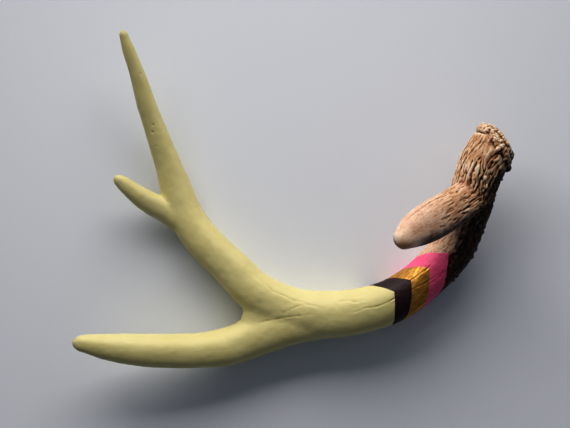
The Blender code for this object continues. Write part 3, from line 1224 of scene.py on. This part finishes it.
@dataclass(frozen=True)
class WeatheringAndShade:
    """Where the bare bone is darkened by its own staining and by painted shade, worn pale, and browned at the
    brow tine's tip.
    """

    # Distances along the beam from the burr, and how far round its darker outer side begins there: that side
    # is partly stained and partly painted shade, as it faces away from the window.
    edge_places: tuple[float, ...] = (0.0, 12.0, 25.0, 55.0, 72.0)
    edge_sides: tuple[float, ...] = (0.86, 0.74, 0.60, 0.42, 0.34)
    ragged: Pattern = Pattern(Look.PLAIN, (7.0, 7.0, 16.0), 61)
    fringe: Pattern = Pattern(Look.PLAIN, 2.5, 62)
    under_wander: Pattern = Pattern(Look.PLAIN, 6.0, 63)
    lower_wander: Pattern = Pattern(Look.PLAIN, 4.0, 65)
    tip_wander: Pattern = Pattern(Look.PLAIN, 5.0, 64)
    # How strongly the beam's outer side is darkened, partly stained and partly painted shade, past its edge
    # and just before it.
    deep_share: float = 0.78
    soft_share: float = 0.22
    # How strongly the brow tine's underside and lower edge are darkened with painted shade.
    under_share: float = 0.8
    lower_share: float = 0.95
    lower_end: tuple[float, float] = (64.0, 80.0)
    brow_worn: tuple[float, float] = (20.0, 58.0)
    beam_worn: tuple[float, float] = (50.0, 68.0)
    beam_worn_share: float = 0.85
    tip_start: tuple[float, float] = (80.0, 94.0)
    # Worn pale spots above, by the brow tine's root: x and y of the middle, and the reach, in metres.
    pale_spots: tuple[tuple[tuple[float, float], float], ...] = (
        ((0.1118, 0.0115), 0.0065),
        ((0.1180, 0.0225), 0.0055),
        ((0.0900, -0.0075), 0.0080),
    )
    spot_share: float = 0.9

    def marks(self, skin: Skin) -> dict[str, np.ndarray]:
        """Finds the marks.

        Args:
            skin: the antler's skin.

        Returns:
            The strength of the staining and painted shade, of polish and of tip at each point, which the
            bone's finish reads.
        """
        beam, brow, scaled = skin.beam, skin.brow, skin.scaled
        # The beam's outer side is darkened: partly its own staining, partly painted shade on the side turned
        # from the window.
        ragged = 0.20 * self.ragged.at(beam.grain) + 0.10 * self.fringe.at(scaled)
        past = beam.outer + ragged - np.interp(beam.along, self.edge_places, self.edge_sides)
        outer = self.deep_share * ease(past, 0.0, 0.15) + self.soft_share * ease(past, -0.25, 0.0)
        # The brow tine's underside, turned to the floor, and its lower edge, turned from the window, are
        # darkened with painted shade.
        under = ease(-np.sin(brow.angle) + 0.3 * self.under_wander.at(scaled), 0.15, 0.65)
        lower = ease(0.15 * self.lower_wander.at(scaled) - np.cos(brow.angle), 0.38, 0.80)
        lower *= 1 - ease(brow.along, *self.lower_end)
        dark = np.maximum(self.under_share * under, self.lower_share * lower)
        polish = skin.on_brow * ease(brow.along, *self.brow_worn)
        polish = np.maximum(polish, skin.on_beam * self.beam_worn_share * ease(beam.along, *self.beam_worn))
        for place, reach in self.pale_spots:
            apart = np.linalg.norm(skin.points[:, :2] - np.array(place), axis=1)
            spot = (skin.outward[:, 2] > 0) * (1 - ease(apart, 0.3 * reach, reach))
            polish = np.maximum(polish, self.spot_share * spot)
        tip = ease(brow.along - 7 * np.cos(brow.angle) + 5 * self.tip_wander.at(scaled), *self.tip_start)
        return {
            "stain_and_shade": np.clip(skin.on_beam * outer + skin.on_brow * dark, 0.0, 1.0),
            "polish": np.clip(polish, 0.0, 1.0),
            "tip": skin.on_brow * tip,
        }


@dataclass
class Relief:
    """What stands proud of the bone's smooth form or is sunk in it, and what it leaves for the finishes."""

    beam: BeamSurface = BeamSurface()
    brow: BrowSurface = BrowSurface()
    pearls: Pearls = Pearls()
    weathering_and_shade: WeatheringAndShade = WeatheringAndShade()
    # How softly one branch's relief passes into the next one's.
    blend: float = 1.6
    # The rim and the cast face, as spans ahead of the burr's centre and out from its axis.
    rim_start: tuple[float, float] = (-6.5, -3.5)
    rim_inside: tuple[float, float] = (15.2, 16.4)
    front_start: tuple[float, float] = (-1.0, 1.0)
    face_start: tuple[float, float] = (-1.5, 1.0)
    cast_start: tuple[float, float] = (1.5, 3.2)
    cast_edge: tuple[float, float] = (8.5, 10.5)
    rim_lumps: tuple[tuple[float, Pattern], ...] = (
        (1.0, Pattern(Look.PLAIN, 2.2, 42)),
        (0.5, Pattern(Look.PLAIN, 1.1, 43)),
    )
    rim_crack: Pattern = Pattern(Look.FURROWS, 2.7, 44, 0.09)
    cast_pit_spacing: float = 1.5
    # The unevenness that paint leaves in sight: each swell's height and pattern.
    swells: tuple[tuple[float, Pattern], ...] = (
        (1.0, Pattern(Look.PLAIN, 15.0, 51)),
        (0.50, Pattern(Look.PLAIN, 6.0, 52)),
    )
    fine_swells: tuple[tuple[float, Pattern], ...] = (
        (0.15, Pattern(Look.PLAIN, 3.0, 54)),
        (0.08, Pattern(Look.PLAIN, 1.4, 55)),
    )
    swell_height: float = 0.45
    crease: Pattern = Pattern(Look.PLAIN, (2.6, 2.6, 5.5), 53)
    crease_height: float = 0.16
    # Pin pits in the yellow: x and y, in metres, and their reach.
    pin_pits: tuple[tuple[float, float, float], ...] = (
        (-0.0958, 0.0537, 0.55),
        (-0.0965, 0.0489, 0.70),
        (-0.1028, 0.0873, 0.50),
        (-0.0940, 0.0395, 0.40),
    )
    pin_pit_depth: float = 0.55
    grooves: tuple[Groove, ...] = (
        Groove(
            ((-0.0300, -0.0486), (-0.0203, -0.0555), (-0.0127, -0.0609))
            + ((-0.0023, -0.0663), (0.0100, -0.0699), (0.0230, -0.0727)),
            0.30,
            0.60,
        ),
        Groove(
            ((0.0393, -0.0754), (0.0462, -0.0736), (0.0565, -0.0718), (0.0669, -0.0671))
            + ((0.0794, -0.0613), (0.0921, -0.0553), (0.1010, -0.0480)),
            0.40,
            0.52,
        ),
        Groove(((0.0798, -0.0547), (0.0854, -0.0512), (0.0923, -0.0460), (0.0990, -0.0380)), 0.34, 0.50),
        Groove(((-0.0259, -0.0839), (-0.0162, -0.0809), (-0.0051, -0.0785), (0.0134, -0.0768)), 0.28, 0.65),
        Groove(((-0.0092, -0.0758), (0.0025, -0.0716), (0.0120, -0.0702)), 0.22, 0.60),
        Groove(((0.0300, -0.0676), (0.0396, -0.0675), (0.0443, -0.0681), (0.0505, -0.0668)), 0.38, 0.60),
    )
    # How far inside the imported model's box the skin stays, in metres.
    inside: float = 0.00002
    # Crests and furrows are told by their height over the skin as this many rounds of averaging leave it.
    crest_rounds: int = 34
    crest_height: float = 0.78

    def survey(self, mesh: bpy.types.Mesh, form: BoneForm, burr: Burr, bands: PaintBands) -> Skin:
        """Finds what is known of each point of the smooth form.

        Args:
            mesh: the antler's smooth form.
            form: its branches.
            burr: its burr.
            bands: the paint.

        Returns:
            The skin.
        """
        points = positions(mesh)
        scaled = points / MILLIMETRE
        places = {branch.limb: branch.locate(points) for branch in form.branches}
        gaps = np.stack([places[limb].gap for limb in Limb])
        share = np.exp(-(gaps - gaps.min(axis=0)) / self.blend)
        share /= share.sum(axis=0)
        weight = dict(zip(Limb, share))

        out, normal = points - np.array(burr.centre), np.array(burr.normal)
        ahead = out @ normal / MILLIMETRE
        off_axis = np.linalg.norm(np.cross(out, normal), axis=1) / MILLIMETRE
        cast = ease(ahead, *self.cast_start) * (1 - ease(off_axis, *self.cast_edge))
        rim = ease(ahead, *self.rim_start) * ease(off_axis, *self.rim_inside)
        rim = np.maximum(rim, ease(ahead, *self.front_start) * (1 - cast))
        face = ease(ahead, *self.face_start)

        far = weight[Limb.SECOND_TINE] + weight[Limb.THIRD_TINE] + weight[Limb.FORK_WEB]
        band = bands.coordinate(places[Limb.BEAM])
        band = np.where(weight[Limb.BROW_TINE] > 0.5, bands.bare_number, band)
        band = np.where(far > 0.5, bands.yellow_number, band)
        grain = sum(weight[limb][:, None] * places[limb].grain for limb in Limb)
        grain += face[:, None] * (scaled * (1.0, 1.0, 0.6) - grain)
        return Skin(
            points=points,
            outward=normals(mesh),
            scaled=scaled,
            beam=places[Limb.BEAM],
            brow=places[Limb.BROW_TINE],
            on_beam=weight[Limb.BEAM],
            on_brow=weight[Limb.BROW_TINE],
            grain=grain,
            rim=rim,
            cast=cast,
            face=face,
            band=band,
            painted=ease(band, -0.03, 0.03),
        )

    def bone_height(self, skin: Skin) -> np.ndarray:
        """How high the bone's own relief stands.

        Args:
            skin: the antler's skin.

        Returns:
            A height at each point.
        """
        off_rim = 1 - skin.rim
        surface = self.beam.height(skin.beam, ease(skin.band, -0.1, 0.1))
        height = skin.on_beam * surface * off_rim * (1 - skin.face)
        height += skin.on_brow * self.brow.height(skin.brow)
        pearls = self.pearls.share * (1 - self.pearls.fill * skin.painted) * self.pearls.height(skin.beam)
        height += pearls * skin.on_beam * off_rim
        lump = sum(share * pattern.at(skin.scaled) for share, pattern in self.rim_lumps)
        pit = cell_distance(skin.scaled / self.cast_pit_spacing, 41)
        height += skin.rim * (0.50 * lump - 0.45 * self.rim_crack.at(skin.scaled))
        height += skin.cast * (0.5 * lump - 0.6 * np.clip(1 - pit / 0.5, 0.0, 1.0))
        return height

    def add_painted(self, height: np.ndarray, skin: Skin, bands: PaintBands) -> None:
        """Adds the relief under the paint, and the paint's own film, to the bone's.

        Args:
            height: the bone's height at each point, which this changes.
            skin: the antler's skin.
            bands: the paint.
        """
        band, painted = skin.band, skin.painted
        swell = sum(share * pattern.at(skin.scaled) for share, pattern in self.swells)
        fine = sum(share * pattern.at(skin.scaled) for share, pattern in self.fine_swells)
        height += painted * (self.swell_height * swell + fine)
        # The grooves show most in the gold and the yellow.
        shallow = 1 - 0.75 * ease(1 - np.abs(band - 2.5), 0.40, 0.65) - 0.55 * (1 - ease(band, 0.6, 1.1))
        up = ease(skin.outward[:, 2], 0.05, 0.35)
        for groove in self.grooves:
            distance, fade = groove.distance(skin.points)
            height += painted * fade * up * groove.profile(distance) * shallow
        for x, y, reach in self.pin_pits:
            apart = np.linalg.norm(skin.points[:, :2] - (x, y), axis=1) / MILLIMETRE
            height -= self.pin_pit_depth * bell(apart, reach) * (skin.outward[:, 2] > 0)
        creased = np.clip(1 - np.abs(band - 1.5) / 1.2, 0.0, 1.0)
        height += creased * self.crease_height * self.crease.at(skin.beam.grain)
        height += painted * bands.film / MILLIMETRE
        for line in range(len(bands.edges)):
            past = (band - line) * bands.open_width
            height += bands.film_ridge * bell(past - bands.film_edge, bands.film_edge)

    def dress(self, whole: bpy.types.Object, form: BoneForm, burr: Burr, bands: PaintBands) -> None:
        """Raises the relief on the smooth form and stores what the finishes read.

        Args:
            whole: the antler's smooth form.
            form: its branches.
            burr: its burr.
            bands: the paint.
        """
        mesh = whole.data
        skin = self.survey(mesh, form, burr, bands)
        height = self.bone_height(skin)
        self.add_painted(height, skin, bands)
        moved = skin.points + skin.outward * (height * MILLIMETRE)[:, None]
        boxes = np.array([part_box(node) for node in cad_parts])
        low, high = boxes[:, 0].min(axis=0), boxes[:, 1].max(axis=0)
        moved = np.clip(moved, low + self.inside, high - self.inside)
        set_positions(mesh, moved)
        flat = averaged(moved, edge_ends(mesh), self.crest_rounds)
        crest = 0.5 + np.sum((moved - flat) * normals(mesh), axis=1) / (self.crest_height * MILLIMETRE)
        marks = {"crest": np.clip(crest, 0.30 * skin.rim, 1.0), "band": skin.band, "grain": skin.grain}
        for name, values in (marks | self.weathering_and_shade.marks(skin)).items():
            store(mesh, name, values)


# The finishes.


def new_material(name: str) -> tuple[bpy.types.Material, bpy.types.NodeTree, bpy.types.Node]:
    """A material with an empty Principled shader.

    Args:
        name: the finish's name.

    Returns:
        The material, its node tree and the shader.
    """
    material = bpy.data.materials.new(name)
    material.use_nodes = True
    tree = material.node_tree
    return material, tree, tree.nodes["Principled BSDF"]


@dataclass(frozen=True)
class DryAntler:
    """Dry cast antler, as it grew: hard bone, stained brown in its furrows, worn pale on its crests.

    The eye gets matt cream ridges over orange-brown sides and near-black clefts, and a beige tine.
    """

    name: str = "dry_antler_bone"
    # Rugged bone, from a cleft's bottom by way of furrows and sides to an ivory crest.
    rugged: Stops = (
        (0.15, "#2A1610"),
        (0.37, "#7B523C"),
        (0.53, "#D2A884"),
        (0.74, "#EFD3B2"),
        (0.97, "#FCECDC"),
    )
    # The same on worn bone.
    worn: Stops = ((0.12, "#62392A"), (0.38, "#CB9F88"), (0.56, "#EFCDB7"), (0.90, "#FCECDC"))
    patches: Stops = ((0.38, "#FFFFFF"), (0.70, "#DCB9A2"))
    patch_share: float = 0.6
    specks: Stops = ((0.55, "#FFFFFF"), (0.66, "#8E5F48"))
    speck_share: float = 0.32
    # The colour that darkens the bone where it is stained and where painted shade stands for its shaded
    # sides.
    stain_and_shade_colour: str = "#4A3B3A"
    tip_brown: str = "#B4754A"
    tip_share: float = 0.8
    fibre_share: float = 0.38
    furrow_roughness: float = 0.78
    crest_roughness: float = 0.50
    ior: float = 1.54

    def material(self) -> bpy.types.Material:
        """Builds the material."""
        material, tree, shader = new_material(self.name)
        add = partial(add_node, tree)
        crest, worn, stain_and_shade, tip = (
            add("Attribute", "Fac", attribute_name=name) for name in ("crest", "polish", "stain_and_shade", "tip")
        )
        grain = add("Attribute", "Vector", attribute_name="grain")
        place = add("TexCoord", "Object")
        # Fibres are about half a millimetre wide; drawn at 0.7 mm so that they show.
        drawn = add("Mapping", "Vector", {"Vector": grain, "Scale": (1.0, 1.0, 0.22)})
        fibre = add("TexNoise", "Fac", {"Vector": drawn, "Scale": 1.4, "Detail": 4.0, "Roughness": 0.6})
        # Brown patches are about 9 mm across, and dark specks about 1.2 mm wide and twice as long.
        mottle = add("TexNoise", "Fac", {"Vector": place, "Scale": 110.0, "Detail": 3.0})
        drawn = add("Mapping", "Vector", {"Vector": grain, "Scale": (1.0, 1.0, 0.45)})
        speck = add("TexNoise", "Fac", {"Vector": drawn, "Scale": 0.85, "Detail": 2.0})
        level = add("Math", 0, {0: fibre, 1: self.fibre_share, 2: crest}, operation="MULTIPLY_ADD")
        level = add("Math", 0, {0: level, 1: self.fibre_share / 2}, operation="SUBTRACT")
        colour, smooth, patches, specks = (
            add("ValToRGB", "Color", {"Fac": factor}, stops)
            for factor, stops in (
                (level, self.rugged),
                (level, self.worn),
                (mottle, self.patches),
                (speck, self.specks),
            )
        )
        tip = add("Math", 0, {0: tip, 1: self.tip_share}, operation="MULTIPLY")
        for share, layer, blend in (
            (worn, smooth, "MIX"),
            (self.patch_share, patches, "MULTIPLY"),
            (self.speck_share, specks, "MULTIPLY"),
            # Staining and painted shade darken the bone.
            (stain_and_shade, self.stain_and_shade_colour, "MULTIPLY"),
            (tip, self.tip_brown, "MIX"),
        ):
            inputs = {"Factor": share, 6: colour, 7: layer}
            colour = add("Mix", 2, inputs, data_type="RGBA", blend_type=blend)
        sheen = {"To Min": self.furrow_roughness, "To Max": self.crest_roughness}
        roughness = add("MapRange", "Result", {"Value": crest, "From Min": 0.2, "From Max": 0.9} | sheen)
        normal = add("Bump", "Normal", {"Strength": 0.35, "Distance": 0.0003, "Height": fibre})
        look = {"Base Color": colour, "Roughness": roughness, "IOR": self.ior, "Normal": normal}
        set_inputs(tree, shader, look)
        return material


@dataclass(frozen=True)
class BrushedAcrylic:
    """Craft acrylic paint, brushed on along the bone: an even matte or satin film with faint streaks.

    Attributes:
        name: the finish's name.
        colour: the paint's own colour.
        thin: its colour where the film is thin or the brush left a streak.
        groove: its colour in grooves and other low places, partly from dust and thicker paint and partly
            painted shade.
        roughness: of the dry film.
        streak: how strongly the brush marks stand out in relief.
        ior: of the dry film.
    """

    name: str
    colour: str
    thin: str
    groove: str
    roughness: float
    streak: float
    ior: float = 1.49

    def material(self) -> bpy.types.Material:
        """Builds the material."""
        material, tree, shader = new_material(self.name)
        add = partial(add_node, tree)
        crest = add("Attribute", "Fac", attribute_name="crest")
        grain = add("Attribute", "Vector", attribute_name="grain")
        place = add("TexCoord", "Object")
        # Bristle marks are 0.3 mm apart; drawn at 0.8 mm so that they show.
        drawn = add("Mapping", "Vector", {"Vector": grain, "Scale": (1.0, 1.0, 0.10)})
        streaks = add("TexNoise", "Fac", {"Vector": drawn, "Scale": 1.2, "Detail": 3.0})
        # The film's grain is about 1.1 mm, and its thin clouds are about 17 mm.
        peel = add("TexNoise", "Fac", {"Vector": place, "Scale": 900.0, "Detail": 2.0})
        cloud = add("TexNoise", "Fac", {"Vector": place, "Scale": 60.0, "Detail": 2.0})
        thinness = add("Mix", 0, {"Factor": 0.5, 2: streaks, 3: cloud})
        colour = add("ValToRGB", "Color", {"Fac": thinness}, ((0.36, self.colour), (0.66, self.thin)))
        # Low places take the groove colour: partly dust and thicker paint, partly painted shade.
        span = {"From Min": 0.20, "From Max": 0.44, "To Min": 1.0, "To Max": 0.0}
        sunk = add("MapRange", "Result", {"Value": crest} | span)
        colour = add("Mix", 2, {"Factor": sunk, 6: colour, 7: self.groove}, data_type="RGBA")
        height = add("Math", 0, {0: peel, 1: 0.9, 2: streaks}, operation="MULTIPLY_ADD")
        normal = add("Bump", "Normal", {"Strength": self.streak, "Distance": 0.0002, "Height": height})
        look = {"Base Color": colour, "Roughness": self.roughness, "IOR": self.ior, "Normal": normal}
        set_inputs(tree, shader, look)
        return material


@dataclass(frozen=True)
class GoldAcrylic:
    """Metallic gold acrylic: mica flakes in a clear film over wrinkled bone, bright and uneven."""

    name: str = "metallic_gold_acrylic"
    bright: str = "#D9A85C"
    deep: str = "#A87A40"
    roughness_low: float = 0.48
    roughness_high: float = 0.62
    flakes: float = 0.8

    def material(self) -> bpy.types.Material:
        """Builds the material."""
        material, tree, shader = new_material(self.name)
        add = partial(add_node, tree)
        grain = add("Attribute", "Vector", attribute_name="grain")
        # The wrinkles are about 1.4 mm wide and three times as long.
        drawn = add("Mapping", "Vector", {"Vector": grain, "Scale": (1.0, 1.0, 0.35)})
        streaks = add("TexNoise", "Fac", {"Vector": drawn, "Scale": 0.7, "Detail": 4.0})
        colour = add("ValToRGB", "Color", {"Fac": streaks}, ((0.35, self.bright), (0.70, self.deep)))
        sheen = {"To Min": self.roughness_low, "To Max": self.roughness_high}
        roughness = add("MapRange", "Result", {"Value": streaks, "From Min": 0.3, "From Max": 0.7} | sheen)
        normal = add("Bump", "Normal", {"Strength": 0.5, "Distance": 0.0004, "Height": streaks})
        look = {"Base Color": colour, "Metallic": self.flakes, "Roughness": roughness, "Normal": normal}
        set_inputs(tree, shader, look)
        return material


# The antler.


@dataclass
class PaintedAntler:
    """The whole antler: its form, its relief, its paint and its finishes."""

    form: BoneForm = field(default_factory=BoneForm)
    burr: Burr = field(default_factory=Burr)
    relief: Relief = field(default_factory=Relief)
    bands: PaintBands = field(default_factory=PaintBands)
    bone: DryAntler = field(default_factory=DryAntler)
    gold: GoldAcrylic = field(default_factory=GoldAcrylic)
    pink: BrushedAcrylic = BrushedAcrylic("matte_pink_acrylic", "#F25F92", "#F572A0", "#B83468", 0.58, 0.25)
    plum: BrushedAcrylic = BrushedAcrylic("satin_plum_acrylic", "#27131B", "#321B25", "#170A10", 0.60, 0.30)
    yellow: BrushedAcrylic = BrushedAcrylic(
        "matte_yellow_acrylic", "#D8CF96", "#DED7A4", "#B7A96C", 0.55, 0.30
    )
    bare_triangles: int = 190000
    painted_triangles: int = 110000
    # Points past these band numbers may be thinned, and are then evened out this strongly.
    bare_plain: float = -0.10
    painted_plain: float = 3.15
    bare_opening: float = 0.2
    painted_opening: float = 0.5

    def build(self) -> tuple[bpy.types.Object, bpy.types.Object]:
        """Builds the antler.

        Returns:
            The bare piece and the painted piece.
        """
        whole = self.form.build(self.burr)
        LOG.info("form: %d points", len(whole.data.vertices))
        self.relief.dress(whole, self.form, self.burr, self.bands)
        select_only(whole)
        bpy.ops.object.mode_set(mode="EDIT")
        bpy.ops.mesh.select_all(action="SELECT")
        bpy.ops.mesh.quads_convert_to_tris(quad_method="SHORTEST_DIAGONAL")
        bpy.ops.object.mode_set(mode="OBJECT")
        self.bands.snap(whole.data)
        self.finish(whole)
        bare = self.part(whole)
        painted_plain = stored(whole.data, "band") > self.painted_plain
        self.thin(whole, painted_plain, self.painted_triangles, self.painted_opening)
        bare_plain = stored(bare.data, "band") < self.bare_plain
        self.thin(bare, bare_plain, self.bare_triangles, self.bare_opening)
        whole.name, bare.name = "painted_bone", "bare_bone"
        return bare, whole

    def finish(self, whole: bpy.types.Object) -> None:
        """Gives each face its coat's material.

        Args:
            whole: the antler, in triangles.
        """
        mesh = whole.data
        finishes = {
            Coat.BARE: self.bone,
            Coat.PINK: self.pink,
            Coat.GOLD: self.gold,
            Coat.PLUM: self.plum,
            Coat.YELLOW: self.yellow,
        }
        mesh.materials.clear()
        for coat in Coat:
            mesh.materials.append(finishes[coat].material())
        mesh.polygons.foreach_set("material_index", self.bands.coats(mesh))
        mesh.shade_smooth()
        mesh.update()

    def part(self, whole: bpy.types.Object) -> bpy.types.Object:
        """Parts the bare bone from the painted at the first paint edge, and closes both inside.

        Args:
            whole: the antler; it keeps the painted faces.

        Returns:
            The bare piece.
        """
        mesh = whole.data
        coats = read(mesh.polygons, "material_index", whole=True)
        select_only(whole)
        bpy.ops.object.mode_set(mode="EDIT")
        bpy.ops.mesh.select_mode(type="FACE")
        bpy.ops.mesh.select_all(action="DESELECT")
        bpy.ops.object.mode_set(mode="OBJECT")
        mesh.polygons.foreach_set("select", coats == Coat.BARE.value)
        bpy.ops.object.mode_set(mode="EDIT")
        bpy.ops.mesh.separate(type="SELECTED")
        bpy.ops.object.mode_set(mode="OBJECT")
        (bare,) = [obj for obj in bpy.context.selected_objects if obj is not whole]
        for piece in (whole, bare):
            self.close(piece)
        return bare

    def close(self, piece: bpy.types.Object) -> None:
        """Closes a piece's open end with a fan of faces inside the bone, behind a sharp edge."""
        select_only(piece)
        bpy.ops.object.mode_set(mode="EDIT")
        bpy.ops.mesh.select_mode(type="EDGE")
        bpy.ops.mesh.select_all(action="DESELECT")
        bpy.ops.mesh.select_non_manifold(
            extend=False, use_wire=False, use_boundary=True, use_multi_face=False, use_non_contiguous=False
        )
        bpy.ops.mesh.mark_sharp()
        bpy.ops.mesh.edge_face_add()
        bpy.ops.mesh.poke()
        bpy.ops.object.mode_set(mode="OBJECT")

    def thin(self, piece: bpy.types.Object, plain: np.ndarray, triangles: int, opening: float) -> None:
        """Thins a piece's triangles, and leaves its paint edges as fine as they are.

        Args:
            piece: the piece.
            plain: which of its points may be thinned.
            triangles: how many triangles it keeps.
            opening: how strongly its points are evened out afterwards, from 0 to 1.
        """
        select_only(piece)
        bpy.ops.object.duplicate()
        fine = bpy.context.object
        # The group's handle is lost once a modifier is applied, so the modifiers get its name as text.
        name = "plain"
        group = piece.vertex_groups.new(name=name)
        for index in np.flatnonzero(plain):
            group.add([int(index)], 1.0, "REPLACE")
        ratio = triangles / len(piece.data.polygons)
        apply_modifier(piece, "DECIMATE", ratio=ratio, vertex_group=name, vertex_group_factor=1.0)
        # Thinning folds a few faces over. A little smoothing opens them, and all points go back on the skin.
        apply_modifier(piece, "SMOOTH", factor=opening, iterations=1, vertex_group=name)
        piece.vertex_groups.clear()
        apply_modifier(piece, "SHRINKWRAP", target=fine, wrap_method="NEAREST_SURFACEPOINT")
        bpy.data.objects.remove(fine)


# The studio.


@dataclass(frozen=True)
class Lamp:
    """A soft rectangular lamp that faces the antler.

    Attributes:
        bearing: where it stands, in degrees from +Y towards +X.
        elevation: how high it stands, in degrees.
        distance: how far away it is.
        width: its width.
        height: its height.
        power: its power, in watts.
        colour: its light's colour.
        even: whether it lights the floor evenly, as a window far away would.
        aim: the height of the point it faces.
    """

    bearing: float
    elevation: float
    distance: float
    width: float
    height: float
    power: float
    colour: str
    even: bool = False
    aim: float = 0.02

    def build(self) -> None:
        """Adds the lamp."""
        across, up = math.radians(self.bearing), math.radians(self.elevation)
        way = Vector((math.sin(across) * math.cos(up), math.cos(across) * math.cos(up), math.sin(up)))
        place = self.distance * way
        turn = (Vector((0.0, 0.0, self.aim)) - place).to_track_quat("-Z", "Y").to_euler()
        bpy.ops.object.light_add(type="AREA", location=place, rotation=turn)
        lamp = bpy.context.object
        lamp.visible_camera = False
        light = lamp.data
        light.shape = "RECTANGLE"
        light.size, light.size_y = self.width, self.height
        light.energy = self.power
        light.color = hex_colour(self.colour)[:3]
        if self.even:
            light.use_nodes = True
            tree = light.node_tree
            strength = add_node(tree, "LightFalloff", "Constant", {"Strength": 1.0})
            set_inputs(tree, tree.nodes["Emission"], {"Strength": strength})


@dataclass
class Studio:
    """A plain pale floor, soft window light from the far side, and the camera straight above."""

    camera_place: tuple[float, float, float] = (-0.0051, -0.0077, 0.520)
    lens: float = 45.1
    sensor: float = 36.0
    floor_size: float = 12.0
    floor_colour: str = "#EAF0FF"
    floor_roughness: float = 0.9
    window: Lamp = Lamp(-10, 31, 0.45, 0.60, 0.34, 8.6, "#FFF8EC", even=True)
    room: Lamp = Lamp(50, 35, 1.0, 0.6, 0.5, 0.3, "#FFF6EC")
    world_colour: str = "#E0E7EE"
    world_strength: float = 0.095

    def build(self) -> None:
        """Builds the floor, the lights and the camera."""
        bpy.ops.mesh.primitive_plane_add(size=self.floor_size, location=(0, 0, 0))
        floor = bpy.context.object
        floor.name = "floor"
        # Matt board, the plainest of floors.
        board, tree, shader = new_material("matt_board")
        set_inputs(tree, shader, {"Base Color": self.floor_colour, "Roughness": self.floor_roughness})
        floor.data.materials.append(board)

        self.window.build()
        self.room.build()
        world = bpy.data.worlds.new("studio")
        world.use_nodes = True
        sky = {"Color": self.world_colour, "Strength": self.world_strength}
        set_inputs(world.node_tree, world.node_tree.nodes["Background"], sky)

        bpy.ops.object.camera_add(location=self.camera_place, rotation=(0, 0, 0))
        camera = bpy.context.object
        camera.data.lens = self.lens
        camera.data.sensor_width = self.sensor
        scene = bpy.context.scene
        scene.world = world
        scene.camera = camera
        scene.view_settings.view_transform = "Standard"
        scene.view_settings.look = "High Contrast"


def main() -> None:
    """Builds the antler and its studio, and reports each piece."""
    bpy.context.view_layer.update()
    bare, painted = PaintedAntler().build()
    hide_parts("main_beam", "brow_tine")
    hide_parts("main_beam", "second_tine", "third_tine")
    for piece in (bare, painted):
        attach(piece, "root")
        piece.data.calc_loop_triangles()
        LOG.info("%s: %d triangles", piece.name, len(piece.data.loop_triangles))
    Studio().build()


if __name__ == "__main__":
    main()
